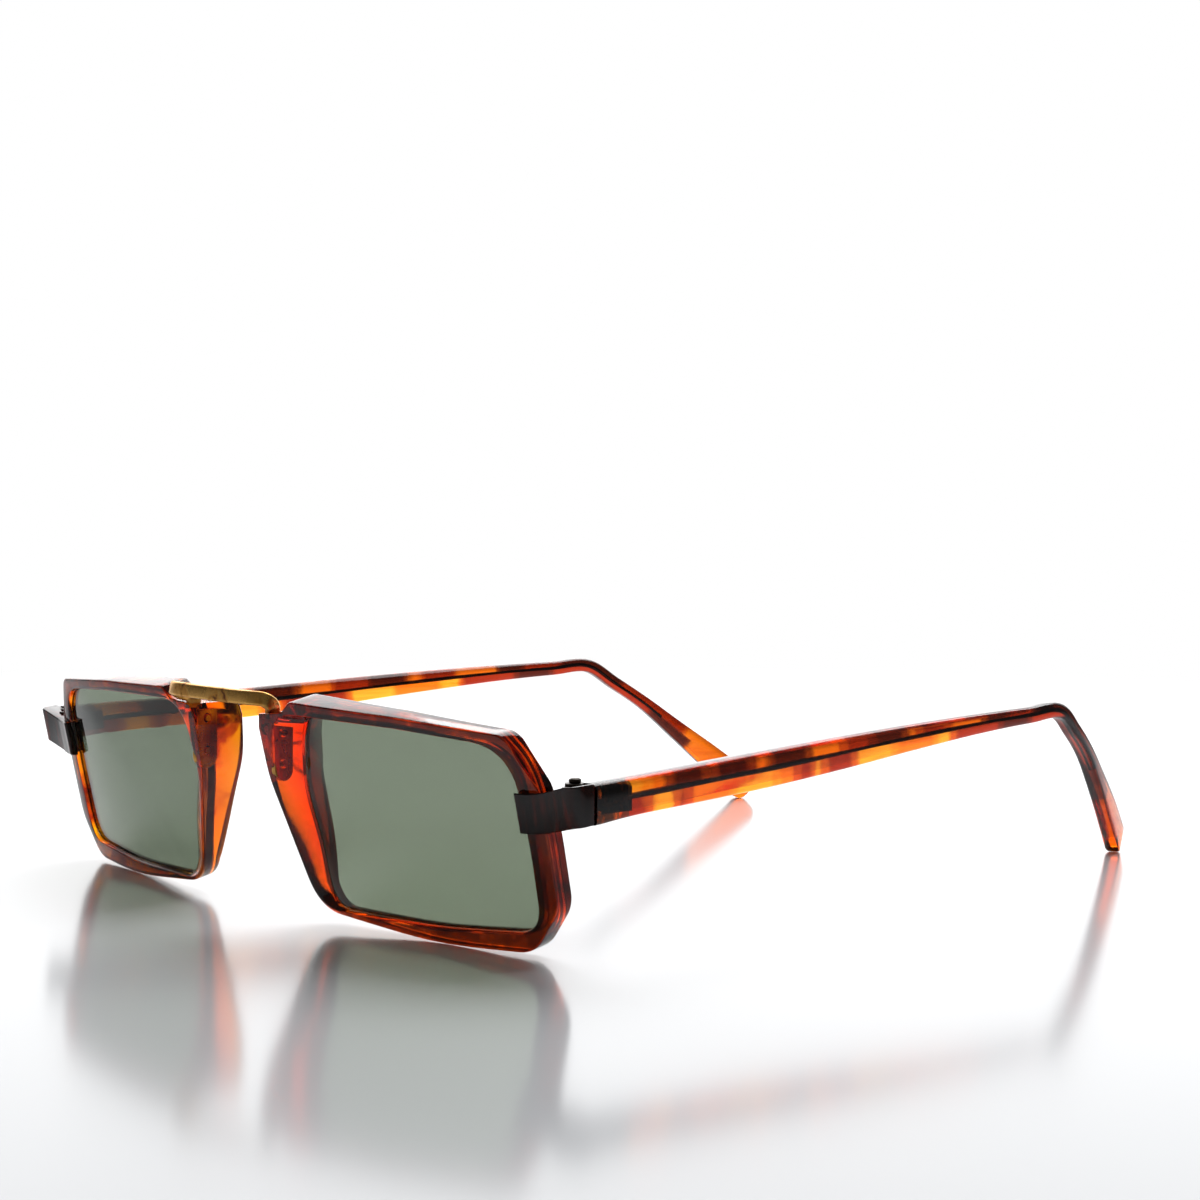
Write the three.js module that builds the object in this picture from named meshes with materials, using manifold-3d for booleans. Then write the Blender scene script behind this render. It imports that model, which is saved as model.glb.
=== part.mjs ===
// Sunglasses: two deep rectangular rims of translucent moulded plastic, a bent metal strip bridge,
// tinted lenses, wrap-round end pieces, three-barrel hinges and folding temples with a core wire.
// Millimetres. +Z is up, the lenses face -Y, +X is the wearer's left.
import * as THREE from 'three';
import { mergeVertices } from 'three/addons/utils/BufferGeometryUtils.js';
import Module from 'manifold-3d';

const wasm = await Module();
wasm.setup();

// ---- Driving dimensions -------------------------------------------------------------------

// Front
const frontHalfWidth = 66;
const bridgeGap = 16.1;
const rimWidth = 50.7;
const rimHeight = 31.7;
const frontTilt = THREE.MathUtils.degToRad(-12.6);
const wrapDrop = 7.4;
const wrapSpan = 60;
const bandTop = 2.2;
const bandBottom = 2.05;
const bandTemporal = 3;
const bandNasal = 1.7;
const edgeRound = 0.45;

// Lens and the groove that holds it
const lensThickness = 1.3;
const lensFit = 0.1;
const lensBite = 0.5;
const grooveDepth = 0.8;
const frontLip = 0.6;
const backLip = 0.6;
const nasalSetback = 2.4;
const lensDome = 0.5;
const bevelPlain = 0.3;
const bevelNasal = 3.6;

// Nose flange behind the nasal side of each rim
const flangeDepth = 9.1;
const flangeBackWall = 1.4;
const flangeFlare = 0.18;
const flangeSettle = 0.5;

// Bridge strip and the plates that anchor it in the rims
const stripHeight = 2.2;
const stripThickness = 1.2;
const stripStandOff = 1.6;
const stripRise = 1.2;
const stripBow = 0.4;
const stripOverhang = 1.2;
const legInset = 1.9;
const legSetback = 1.5;
const legBite = 0.6;
const anchorThickness = 0.8;
const anchorWidth = 3.3;
const anchorLength = 8.2;
const anchorShift = 1.8;
const anchorHoleRadius = 0.7;
const rivetRadius = 0.45;
const rivetLength = 1.7;

// End piece
const endPieceHeight = 5.2;
const endPieceFrontHeight = 4.5;
const endPieceLift = 1.9;
const endPieceProud = 0.85;
const endPieceBite = 0.3;
const endPieceInnerLap = 0.4;
const endPieceCorner = 2;

// Hinge
const hingeInset = 4.6;
const hingeSetback = 0.6;
const barrelRadius = 1.3;
const barrelHeight = 1.5;
const barrelSink = 0.45;
const barrelGap = 0.25;
const leafThickness = 0.8;
const frontLeafHeight = 3.6;
const templeLeafHeight = 3;
const templeLeafLength = 5;
const screwRadius = 0.5;
const screwHeadRadius = 1.05;
const screwHeadHeight = 0.55;
const screwSlot = 0.3;
const screwClearance = 0.1;

// Temple
const templeStart = 5.35;
const templeBend = 109.1;
const templeReach = 141.5;
const templeHeight = 5.2;
const templeSlimHeight = 4.6;
const templeBendHeight = 2.2;
const templeThickness = 3.4;
const templeBendThickness = 2.5;
const templeSink = 0.3;
const templeToeIn = 9.95;
const tipToeIn = 22.5;
const templeRise = 3.4;
const paddleHeight = 5.2;
const wireRadius = 0.55;
const wireTipRadius = 0.32;

// Clearance kept between pieces that touch
const fit = 0.3;

// ---- Materials ----------------------------------------------------------------------------

const tortoise = { color: 0x9c3a0c, roughness: 0.18, metalness: 0 };
const darkTortoise = { color: 0x3a140a, roughness: 0.25, metalness: 0 };
const tint = { color: 0x5f6b58, roughness: 0.05, metalness: 0 };
const agedGold = { color: 0xb8924c, roughness: 0.35, metalness: 1 };
const steel = { color: 0x9a9690, roughness: 0.4, metalness: 1 };

// ---- Solids -------------------------------------------------------------------------------

function toSolid(geometry) {
  const bare = geometry.clone();
  bare.deleteAttribute('normal');
  bare.deleteAttribute('uv');
  const merged = mergeVertices(bare, 1e-4);
  const vertProperties = new Float32Array(merged.attributes.position.array);
  const triVerts = new Uint32Array(merged.index.array);
  return new wasm.Manifold(new wasm.Mesh({ numProp: 3, vertProperties, triVerts }));
}

function toGeometry(solid) {
  const mesh = solid.getMesh();
  const geometry = new THREE.BufferGeometry();
  geometry.setAttribute('position', new THREE.BufferAttribute(new Float32Array(mesh.vertProperties), 3));
  geometry.setIndex(new THREE.BufferAttribute(new Uint32Array(mesh.triVerts), 1));
  return geometry;
}

function signedVolume(points, triangles) {
  let volume = 0;
  const cross = new THREE.Vector3();
  for (let i = 0; i < triangles.length; i += 3) {
    cross.crossVectors(points[triangles[i + 1]], points[triangles[i + 2]]);
    volume += points[triangles[i]].dot(cross) / 6;
  }
  return volume;
}

function fromTriangles(points, triangles) {
  if (signedVolume(points, triangles) < 0) {
    triangles.reverse();
  }
  const geometry = new THREE.BufferGeometry().setFromPoints(points);
  geometry.setIndex(triangles);
  return geometry;
}

// Skins a list of rings that all have the same number of points. A looped skin closes on its
// first ring; any other skin gets a cap at each end, cut up in the plane of the ring's two axes.
function skin(rings, looped, axisA = 'x', axisB = 'y') {
  const count = rings[0].length;
  const points = rings.flat();
  const triangles = [];
  const last = looped ? rings.length : rings.length - 1;
  for (let i = 0; i < last; i += 1) {
    const near = i * count;
    const far = ((i + 1) % rings.length) * count;
    for (let j = 0; j < count; j += 1) {
      const k = (j + 1) % count;
      triangles.push(near + j, far + j, far + k);
      triangles.push(near + j, far + k, near + k);
    }
  }
  if (!looped) {
    const flat = rings[0].map((p) => new THREE.Vector2(p[axisA], p[axisB]));
    const end = (rings.length - 1) * count;
    for (const [a, b, c] of THREE.ShapeUtils.triangulateShape(flat, [])) {
      const area = crossOf(flat[a], flat[b], flat[c]);
      const [p, q, r] = (area > 0) === THREE.ShapeUtils.isClockWise(flat) ? [a, c, b] : [a, b, c];
      triangles.push(p, q, r);
      triangles.push(end + p, end + r, end + q);
    }
  }
  return fromTriangles(points, triangles);
}

function crossOf(a, b, c) {
  return (b.x - a.x) * (c.y - a.y) - (b.y - a.y) * (c.x - a.x);
}

function block(x0, x1, y0, y1, z0, z1) {
  const geometry = new THREE.BoxGeometry(x1 - x0, y1 - y0, z1 - z0);
  geometry.translate((x0 + x1) / 2, (y0 + y1) / 2, (z0 + z1) / 2);
  return toSolid(geometry);
}

function upright(x, y, z0, z1, radius, sides = 20) {
  const geometry = new THREE.CylinderGeometry(radius, radius, z1 - z0, sides);
  geometry.rotateX(Math.PI / 2);
  geometry.translate(x, y, (z0 + z1) / 2);
  return toSolid(geometry);
}

function crosswise(x0, x1, y, z, radius, sides = 16) {
  const geometry = new THREE.CylinderGeometry(radius, radius, x1 - x0, sides);
  geometry.rotateZ(Math.PI / 2);
  geometry.translate((x0 + x1) / 2, y, z);
  return toSolid(geometry);
}

function mirrored(geometry) {
  const copy = geometry.clone();
  copy.scale(-1, 1, 1);
  copy.setIndex([...geometry.index.array].reverse());
  return copy;
}

// ---- Front surface: flat outline coordinates (u across, v up, depth w) to the worn shape ------

function wrapAt(u) {
  return wrapDrop * (u / wrapSpan) ** 2;
}

function place(u, v, w) {
  const y = wrapAt(u) + v * Math.sin(frontTilt) + w * Math.cos(frontTilt);
  const z = v * Math.cos(frontTilt) - w * Math.sin(frontTilt);
  return new THREE.Vector3(u, y, z);
}

// Y of the front surface at a world height z
function frontY(x, z) {
  return wrapAt(x) + z * Math.tan(frontTilt);
}

// ---- Outlines -----------------------------------------------------------------------------

const nasal = bridgeGap / 2;
const temporal = nasal + rimWidth;
const centre = new THREE.Vector2((nasal + temporal) / 2, rimHeight / 2);

// Corners of the rim's outside, anticlockwise from the nasal end of the bottom: [u, v, radius]
const outerCorners = [
  [nasal + 6.4, 2.1, 7],
  [nasal + 29, 0, 90],
  [temporal - 6.2, 1, 5],
  [temporal - 0.2, 8.4, 5],
  [temporal, 16, 60],
  [temporal - 0.2, rimHeight - 8.7, 4],
  [temporal - 4.2, rimHeight - 1.8, 3],
  [nasal + 28, rimHeight - 0.6, 90],
  [nasal + 8, rimHeight, 1],
  [nasal + 5.7, rimHeight - 1.7, 0.7],
  [nasal, rimHeight - 2.2, 0.7],
  [nasal + 0.3, rimHeight - 11.2, 14],
];

// Corners of the opening in the front face, in the same order
const openingCorners = [
  [nasal + 5.3 + bandNasal, bandBottom + 0.25, 6],
  [nasal + 29, bandBottom, 90],
  [temporal - bandTemporal - 0.4, bandBottom + 1.5, 4.5],
  [temporal - bandTemporal, 15, 60],
  [temporal - bandTemporal - 0.7, rimHeight - bandTop - 1.2, 8],
  [nasal + 28, rimHeight - bandTop, 90],
  [nasal + bandNasal + 1.3, rimHeight - bandTop + 0.5, 7.5],
  [nasal + bandNasal, rimHeight - 13, 14],
];

// Rounds each corner with an arc and divides the straight stretches
function outline(corners, maxStep, arcStep) {
  const points = [];
  const total = corners.length;
  for (let i = 0; i < total; i += 1) {
    const [u, v, radius] = corners[i];
    const here = new THREE.Vector2(u, v);
    const before = new THREE.Vector2(...corners[(i + total - 1) % total].slice(0, 2)).sub(here);
    const after = new THREE.Vector2(...corners[(i + 1) % total].slice(0, 2)).sub(here);
    const half = Math.acos(before.dot(after) / before.length() / after.length()) / 2;
    const reach = Math.min(before.length(), after.length()) * 0.48;
    const cut = Math.min(radius / Math.tan(half), reach);
    const start = before.clone().setLength(cut).add(here);
    const end = after.clone().setLength(cut).add(here);
    const steps = Math.max(2, Math.round((Math.PI - 2 * half) / arcStep));
    for (let k = 0; k <= steps; k += 1) {
      const t = k / steps;
      const a = start.clone().multiplyScalar((1 - t) ** 2);
      const b = here.clone().multiplyScalar(2 * t * (1 - t));
      const c = end.clone().multiplyScalar(t ** 2);
      points.push(a.add(b).add(c));
    }
  }
  const divided = [];
  points.forEach((point, i) => {
    const next = points[(i + 1) % points.length];
    const pieces = Math.max(1, Math.ceil(point.distanceTo(next) / maxStep));
    for (let k = 0; k < pieces; k += 1) {
      divided.push(point.clone().lerp(next, k / pieces));
    }
  });
  return divided;
}

function bearing(point) {
  return Math.atan2(point.y - centre.y, point.x - centre.x);
}

// Where the ray from the rim's centre at an angle meets an outline
function meet(points, angle) {
  const ray = new THREE.Vector2(Math.cos(angle), Math.sin(angle));
  let best = centre.clone();
  for (let i = 0; i < points.length; i += 1) {
    const a = points[i].clone().sub(centre);
    const b = points[(i + 1) % points.length].clone().sub(centre);
    const edge = b.clone().sub(a);
    const bottom = ray.cross(edge);
    const along = a.cross(edge) / bottom;
    const share = a.cross(ray) / bottom;
    if (along > 0 && share >= -1e-9 && share <= 1 + 1e-9) {
      best = ray.clone().multiplyScalar(along).add(centre);
    }
  }
  return best;
}

function smooth(low, high, value) {
  const t = THREE.MathUtils.clamp((value - low) / (high - low), 0, 1);
  return t * t * (3 - 2 * t);
}

const outerLine = outline(outerCorners, 5, 0.36);
const openingLine = outline(openingCorners, 8, 0.42);

function stationAngles() {
  const angles = outerLine.map(bearing);
  for (const point of openingLine) {
    const angle = bearing(point);
    if (angles.every((other) => Math.abs(other - angle) > 0.035)) {
      angles.push(angle);
    }
  }
  return angles.sort((a, b) => a - b);
}

// Depth of the lens's front face behind the rim's front face
function lensDepth(u, v) {
  const nasalShare = THREE.MathUtils.clamp((temporal - bandTemporal - u) / (rimWidth - 9), 0, 1);
  const heightShare = THREE.MathUtils.clamp(v / (rimHeight - 4), 0, 1);
  return frontLip + nasalSetback * nasalShare ** 1.5 * heightShare;
}

// One radial cut through the rim: outside, opening, lens seat and back, with the flange's depth
function cutAt(angle) {
  const outside = meet(outerLine, angle);
  const opening = meet(openingLine, angle);
  const inward = centre.clone().sub(outside).normalize();
  const nasalShare = 1 - smooth(nasal + 6, nasal + 16, opening.x);
  const seat = shift(opening, inward, bevelPlain);
  seat.x += bevelNasal * nasalShare * (0.5 + 0.5 * smooth(0, 14, opening.y));
  const seatDepth = lensDepth(seat.x, seat.y);
  const plainBack = seatDepth + lensThickness + 2 * lensFit + backLip;
  const climb = THREE.MathUtils.clamp((outside.y - 5) / (rimHeight - 8.5), 0, 1);
  const onNose = 1 - smooth(nasal + 3.4, nasal + 5.2, outside.x - 0.35 * Math.max(0, 18 - outside.y));
  const back = plainBack + Math.max(0, flangeDepth - plainBack) * climb * onNose;
  const settle = flangeSettle * (back - plainBack) * smooth(12, 26, outside.y);
  return { outside, opening, inward, seat, seatDepth, back, settle, onNose: onNose * climb };
}

const cuts = stationAngles().map(cutAt);

function shift(point, direction, amount) {
  return direction.clone().multiplyScalar(amount).add(point);
}

function rimSection(cut) {
  const { outside, opening, inward, seat, seatDepth, back, settle, onNose } = cut;
  const flare = flangeFlare * Math.max(0, back - 1) * onNose;
  const backOutside = new THREE.Vector2(outside.x + flare, outside.y - settle);
  const flangeInside = shift(backOutside, inward, flangeBackWall);
  const backInside = seat.clone().lerp(flangeInside, onNose);
  const grooveFloor = shift(seat, inward, -grooveDepth);
  const grooveBack = seatDepth + lensThickness + 2 * lensFit;
  const section = [
    [outside, edgeRound],
    [shift(outside, inward, edgeRound), 0],
    [shift(opening, inward, -edgeRound / 2), 0],
    [shift(opening, inward, edgeRound / 4), edgeRound / 2],
    [seat, seatDepth],
    [grooveFloor, seatDepth],
    [grooveFloor, grooveBack],
    [seat, grooveBack],
    [shift(backInside, inward, 0), back - edgeRound / 2],
    [shift(backInside, inward, -edgeRound), back],
    [shift(backOutside, inward, edgeRound), back],
    [backOutside, back - edgeRound],
  ];
  return section.map(([point, depth]) => place(point.x, point.y, depth));
}

function rimBlank() {
  return skin(cuts.map(rimSection), true);
}

// The lens follows the groove at its edge and domes slightly towards the front
function lensGeometry() {
  const shares = [1, 0.8, 0.5, 0.2];
  const ringAt = (share, thickness) => cuts.map((cut) => {
    const edge = shift(cut.seat, cut.inward, -lensBite);
    const point = edge.clone().sub(centre).multiplyScalar(share).add(centre);
    const dome = lensDome * (1 - share ** 2);
    const depth = share === 1 ? cut.seatDepth : lensDepth(point.x, point.y) - dome;
    return place(point.x, point.y, depth + lensFit + thickness);
  });
  const front = shares.map((share) => ringAt(share, 0));
  const back = shares.map((share) => ringAt(share, lensThickness));
  const rings = [...front.reverse(), ...back];
  return skin(rings, false, 'x', 'z');
}

// ---- Bridge -------------------------------------------------------------------------------

const notchHeight = place(nasal, rimHeight - 2.2, 0).z;
const legX = nasal + legInset;
const legY = frontY(legX, notchHeight) + legSetback;
const stripZ = notchHeight + stripRise + stripHeight / 2;
const stripY = frontY(0, notchHeight) - stripStandOff;
const anchorTop = notchHeight - legBite;
const anchorY = legY + anchorShift;

function stripPath() {
  const turn = legX + stripOverhang;
  const half = [
    [turn * 0.5, stripY + stripBow * 0.25, stripZ, 0],
    [turn * 0.82, stripY + stripBow, stripZ, 0.05],
    [turn - 0.15, stripY + stripBow + 0.8, stripZ - 0.15, 0.3],
    [turn - 0.05, (stripY + legY) / 2 + 0.6, stripZ - 0.75, 0.75],
    [legX + 0.1, legY - 0.05, stripZ - 1.4, 1.45],
    [legX, legY, notchHeight, Math.PI / 2],
    [legX, legY, anchorTop, Math.PI / 2],
  ];
  const left = half.map(([x, y, z, lean]) => [-x, y, z, lean]).reverse();
  return [...left, [0, stripY, stripZ, 0], ...half];
}

function stripRings() {
  const stops = stripPath();
  const curve = new THREE.CatmullRomCurve3(stops.map(([x, y, z]) => new THREE.Vector3(x, y, z)));
  const steps = (stops.length - 1) * 3;
  const rings = [];
  for (let i = 0; i <= steps; i += 1) {
    const t = i / steps;
    const at = t * (stops.length - 1);
    const low = Math.min(Math.floor(at), stops.length - 2);
    const lean = THREE.MathUtils.lerp(stops[low][3], stops[low + 1][3], at - low);
    const point = curve.getPoint(t);
    const along = curve.getTangent(t);
    const tall = new THREE.Vector3(0, Math.sin(lean), Math.cos(lean));
    tall.addScaledVector(along, -tall.dot(along)).normalize();
    const thick = new THREE.Vector3().crossVectors(along, tall);
    rings.push(stripRing(point, tall, thick));
  }
  return rings;
}

function stripRing(point, tall, thick) {
  const a = stripHeight / 2;
  const b = stripThickness / 2;
  const round = 0.25;
  const corners = [
    [a - round, b], [a, b - round], [a, round - b], [a - round, -b],
    [round - a, -b], [-a, round - b], [-a, b - round], [round - a, b],
  ];
  return corners.map(([h, w]) => point.clone().addScaledVector(tall, h).addScaledVector(thick, w));
}

// Punched plate with a rounded foot, buried in the flange under each leg of the strip
function anchorBlank(grow) {
  const shape = new THREE.Shape();
  const half = anchorWidth / 2 + grow;
  const top = anchorTop - fit + grow;
  const foot = anchorTop - fit - anchorLength + anchorWidth / 2;
  shape.moveTo(-half, foot);
  shape.absarc(0, foot, half, Math.PI, 2 * Math.PI, false);
  shape.lineTo(half, top);
  shape.lineTo(-half, top);
  shape.closePath();
  const thickness = anchorThickness + 2 * grow;
  const geometry = new THREE.ExtrudeGeometry(shape, { depth: thickness, bevelEnabled: false, curveSegments: 8 });
  geometry.translate(0, 0, -thickness / 2);
  geometry.rotateX(Math.PI / 2);
  geometry.rotateZ(Math.PI / 2);
  geometry.translate(legX, anchorY, 0);
  return toSolid(geometry);
}

const rivetPlaces = {
  upper: anchorTop - fit - anchorLength * 0.14,
  lower: anchorTop - fit - anchorLength * 0.7,
};

function anchorPlate() {
  let plate = anchorBlank(0);
  for (const z of Object.values(rivetPlaces)) {
    plate = plate.subtract(crosswise(legX - 1, legX + 1, anchorY, z, anchorHoleRadius));
  }
  return toGeometry(plate);
}

function anchorRivet(z) {
  const shaft = crosswise(legX - rivetLength / 2, legX + rivetLength / 2, anchorY, z, rivetRadius);
  return toGeometry(shaft);
}

// Room in the rim for the strip's leg, its anchor plate and the rivets through it
function anchorRoom() {
  const wide = stripThickness / 2 + fit;
  const deep = stripHeight / 2 + fit;
  const top = notchHeight + 2;
  let room = block(legX - wide, legX + wide, legY - deep, legY + deep, anchorTop - fit, top);
  room = room.add(anchorBlank(fit));
  for (const z of Object.values(rivetPlaces)) {
    const reach = rivetLength / 2 + fit;
    room = room.add(crosswise(legX - reach, legX + reach, anchorY, z, rivetRadius + fit));
  }
  return room;
}

// ---- End piece ----------------------------------------------------------------------------

const endFrontZ = place(temporal, rimHeight * 0.632, 0).z;
const jointZ = endFrontZ + endPieceLift;
const endTop = jointZ + endPieceHeight / 2;
const endBottom = jointZ - endPieceHeight / 2;
const endBack = templeStart - fit;
const hingeX = frontHalfWidth - hingeInset;
const hingeY = endBack + hingeSetback;

// Plan of the end piece: over the rim's front, round the corner and back to the hinge
function endPlan(grow) {
  const inner = temporal - bandTemporal - endPieceInnerLap - grow;
  const outer = frontHalfWidth + grow;
  const flatFrom = temporal + 1;
  const face = (x) => frontY(Math.min(x, flatFrom), endFrontZ) - endPieceProud - grow;
  const bite = (x) => frontY(x, endFrontZ) + endPieceBite + grow;
  const inside = temporal + fit + 0.1 - grow;
  const turn = endPieceCorner + grow;
  const cornerY = face(outer);
  const plan = [
    [inner, bite(inner)],
    [inner, face(inner) + 0.3],
    [inner + 0.3, face(inner)],
    [flatFrom, face(flatFrom)],
    [outer - turn, cornerY],
  ];
  for (let k = 1; k <= 4; k += 1) {
    const angle = (k / 4) * (Math.PI / 2);
    plan.push([outer - turn + turn * Math.sin(angle), cornerY + turn * (1 - Math.cos(angle))]);
  }
  plan.push([outer, endBack + grow], [inside, endBack + grow], [inside, bite(inside)]);
  return plan;
}

// Underside (side -1) or top (side 1) of the end piece, climbing from the lens to the joint
function endFace(side, grow) {
  const bare = endPlan(0);
  const [[inner]] = bare;
  const [corner, cornerY] = bare[4];
  const frontZ = endFrontZ + side * (endPieceFrontHeight / 2 + grow);
  const backZ = jointZ + side * (endPieceHeight / 2 + grow);
  const lean = side * (endPieceFrontHeight / 2) * Math.tan(frontTilt);
  return endPlan(grow).map(([x, y], i) => {
    const [bareX, bareY] = bare[i];
    const across = THREE.MathUtils.clamp((bareX - inner) / (corner - inner), 0, 1);
    const rear = smooth(cornerY, endBack - 0.5, bareY);
    const z = THREE.MathUtils.lerp(frontZ, backZ, (across + rear) / 2);
    return new THREE.Vector3(x, y + lean * (1 - rear), z);
  });
}

function endBlank(grow) {
  return toSolid(skin([endFace(-1, grow), endFace(1, grow)], false));
}

// ---- Hinge --------------------------------------------------------------------------------

const barrelBase = endTop - barrelSink - 3 * barrelHeight - 2 * barrelGap;
const barrelLevels = [0, 1, 2].map((k) => barrelBase + k * (barrelHeight + barrelGap));
const hingeTop = barrelLevels[2] + barrelHeight;
const screwHoleRadius = screwRadius + screwClearance;
const frontLeafX = hingeX + 0.5;
const frontLeafStart = frontY(temporal + 1, endFrontZ - endPieceFrontHeight / 2) - endPieceProud + 0.8;
const templeLeafX = frontHalfWidth - templeThickness / 2 - 0.7;
const templeLeafStart = hingeY + barrelRadius + barrelGap + 0.1;

function barrel(level, sides = 20) {
  return upright(hingeX, hingeY, level, level + barrelHeight, barrelRadius, sides);
}

function hingeRoom(z0, z1) {
  return upright(hingeX, hingeY, z0, z1, barrelRadius + fit, 24);
}

function screwBore() {
  return upright(hingeX, hingeY, endBottom - 2, hingeTop + 2, screwHoleRadius, 20);
}

function frontLeafPlate(grow) {
  const half = leafThickness / 2 + grow;
  const tall = frontLeafHeight / 2 + grow;
  const low = jointZ - tall;
  return block(frontLeafX - half, frontLeafX + half, frontLeafStart - grow, hingeY, low, jointZ + tall);
}

function frontLeaf() {
  const middle = barrelLevels[1];
  let leaf = frontLeafPlate(0).add(barrel(barrelLevels[0])).add(barrel(barrelLevels[2]));
  leaf = leaf.subtract(hingeRoom(middle - barrelGap, middle + barrelHeight + barrelGap));
  return toGeometry(leaf.subtract(screwBore()));
}

function templeLeafPlate(grow) {
  const half = leafThickness / 2 + grow;
  const low = jointZ - templeLeafHeight / 2 - grow;
  const high = jointZ + templeLeafHeight / 2 + grow;
  const end = templeLeafStart + templeLeafLength + grow;
  return block(templeLeafX - half, templeLeafX + half, templeLeafStart - grow, end, low, high);
}

function templeLeafWeb(grow) {
  const low = barrelLevels[1] - grow;
  const high = barrelLevels[1] + barrelHeight + grow;
  const far = templeLeafX + leafThickness / 2 + grow;
  return block(hingeX, far, hingeY + 0.1 - grow, templeLeafStart + 0.6, low, high);
}

function templeLeaf() {
  const leaf = templeLeafPlate(0).add(templeLeafWeb(0)).add(barrel(barrelLevels[1]));
  return toGeometry(leaf.subtract(screwBore()));
}

function hingeScrew() {
  const seat = hingeTop + 0.1;
  const shaft = upright(hingeX, hingeY, barrelLevels[0] + 0.1, seat, screwRadius, 16);
  const head = upright(hingeX, hingeY, seat, seat + screwHeadHeight, screwHeadRadius, 20);
  const slotFloor = seat + screwHeadHeight / 2;
  const half = screwSlot / 2;
  const slot = block(hingeX - 2, hingeX + 2, hingeY - half, hingeY + half, slotFloor, slotFloor + 1);
  return toGeometry(shaft.add(head).subtract(slot));
}

// ---- Temple -------------------------------------------------------------------------------

// Stops along the temple's middle: [share of the straight, toe-in, rise, height, thickness]
function templeStops() {
  const straight = templeBend - templeStart;
  const drop = templeReach - templeBend;
  const level = jointZ - templeSink;
  const stops = [];
  const heightAt = (share) => {
    const slim = THREE.MathUtils.lerp(templeSlimHeight, templeBendHeight, smooth(0.3, 1, share));
    return slim + (templeHeight - templeSlimHeight) * (1 - smooth(0, 0.07, share));
  };
  for (const share of [0, 0.06, 0.18, 0.32, 0.48, 0.64, 0.8, 0.92, 1]) {
    const height = heightAt(share);
    const thickness = THREE.MathUtils.lerp(templeThickness, templeBendThickness, share);
    const topLine = templeHeight / 2 + templeRise * Math.sin((Math.PI / 2) * share) ** 1.15;
    stops.push({
      x: frontHalfWidth - templeToeIn * share - thickness / 2,
      y: templeStart + straight * share,
      z: level + topLine - height / 2,
      height,
      thickness,
    });
  }
  const bendZ = stops[stops.length - 1].z;
  for (const share of [0.17, 0.34, 0.55, 0.76, 0.9]) {
    const fall = share < 0.3 ? 0.12 : share - 0.08;
    stops.push({
      x: frontHalfWidth - templeToeIn - (tipToeIn - templeToeIn) * share ** 1.25 - 1.25,
      y: templeBend + drop * share,
      z: bendZ * (1 - fall / 0.84),
      height: THREE.MathUtils.lerp(templeBendHeight, paddleHeight, smooth(0.25, 0.95, share)),
      thickness: templeBendThickness,
    });
  }
  return stops;
}

function templePath() {
  const stops = templeStops();
  const curve = new THREE.CatmullRomCurve3(stops.map(({ x, y, z }) => new THREE.Vector3(x, y, z)));
  const steps = (stops.length - 1) * 2;
  const up = new THREE.Vector3(0, 0, 1);
  const stations = [];
  for (let i = 0; i <= steps; i += 1) {
    const at = i / 2;
    const low = Math.min(Math.floor(at), stops.length - 2);
    const along = curve.getTangent(i / steps);
    const out = new THREE.Vector3().crossVectors(along, up).normalize();
    const tall = new THREE.Vector3().crossVectors(out, along);
    const mix = (key) => THREE.MathUtils.lerp(stops[low][key], stops[low + 1][key], at - low);
    stations.push({ point: curve.getPoint(i / steps), along, out, tall, height: mix('height'), thickness: mix('thickness') });
  }
  const tip = stations[stations.length - 1];
  for (const turn of [0.35, 0.7, 1.05, 1.35]) {
    stations.push({
      ...tip,
      point: tip.point.clone().addScaledVector(tip.along, (tip.height / 2) * Math.sin(turn)),
      height: tip.height * Math.cos(turn),
      thickness: tip.thickness * (0.35 + 0.65 * Math.cos(turn)),
    });
  }
  return stations;
}

function templeRing({ point, out, tall, height, thickness }) {
  const a = height / 2;
  const b = thickness / 2;
  const round = Math.min(0.6, a * 0.45, b * 0.45);
  const corners = [
    [a - round, b], [a, b - round], [a, round - b], [a - round, -b],
    [round - a, -b], [-a, round - b], [-a, b - round], [round - a, b],
  ];
  return corners.map(([h, w]) => point.clone().addScaledVector(tall, h).addScaledVector(out, w));
}

// The drop behind the bend is set so that the paddle rests at the height of the rims' lowest edge
function settledPath(floor) {
  const path = templePath();
  const lowest = () => Math.min(...path.flatMap(templeRing).map((p) => p.z));
  for (let pass = 0; pass < 4; pass += 1) {
    const miss = lowest() - floor;
    for (const station of path) {
      station.point.z -= miss * smooth(templeBend - 2, templeReach - 4, station.point.y);
    }
  }
  return path;
}

function templeBlank(path) {
  const rings = path.map(templeRing);
  rings[0].forEach((p) => p.setY(templeStart));
  return toSolid(skin(rings, false, 'x', 'z'));
}

function wireTube(path, grow, first, last) {
  const stretch = path.slice(first, last + 1);
  const rings = stretch.map(({ point, out, tall }, i) => {
    const radius = THREE.MathUtils.lerp(wireRadius, wireTipRadius, i / (stretch.length - 1)) + grow;
    const ring = [];
    for (let k = 0; k < 8; k += 1) {
      const angle = (k / 8) * 2 * Math.PI;
      const w = Math.cos(angle) * radius;
      const h = Math.sin(angle) * radius;
      ring.push(point.clone().addScaledVector(out, w).addScaledVector(tall, h));
    }
    return ring;
  });
  return skin(rings, false, 'x', 'z');
}

const rimFloor = Math.min(...cuts.flatMap(rimSection).map((p) => p.z));
const path = settledPath(rimFloor);
const wireFirst = path.findIndex((s) => s.point.y > templeLeafStart + templeLeafLength + 2 * fit);
const wireLast = path.length - 9;

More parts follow.
